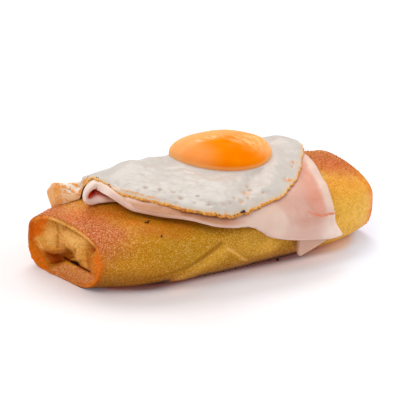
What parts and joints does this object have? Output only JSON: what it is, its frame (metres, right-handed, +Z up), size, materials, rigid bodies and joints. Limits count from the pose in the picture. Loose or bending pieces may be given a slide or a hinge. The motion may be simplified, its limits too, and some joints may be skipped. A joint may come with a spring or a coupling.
{
  "type": "egg roll",
  "caption": "Deep-fried rolled pastry with tucked ends, topped with a folded slice of ham and a fried egg.",
  "frame": {"origin": "on the flat underside of the roll, in the middle of its length", "axes": "+X along the roll, +Z up, -Y towards the side on which the ham hangs down"},
  "size_m": [0.1435, 0.0811, 0.0479],
  "materials": {
    "wrapper": "crisp fried pastry, golden brown with small blisters and a redder end",
    "ham": "moist cooked ham, pale pink with a lighter rim",
    "egg_white": "set egg white with a browned lacy rim",
    "egg_yolk": "soft yolk under a thin pale film"
  },
  "bodies": {
    "root": {"roll": "wrapper", "ham": "ham", "egg_white": "egg_white", "egg_yolk": "egg_yolk"}
  },
  "joints": []
}
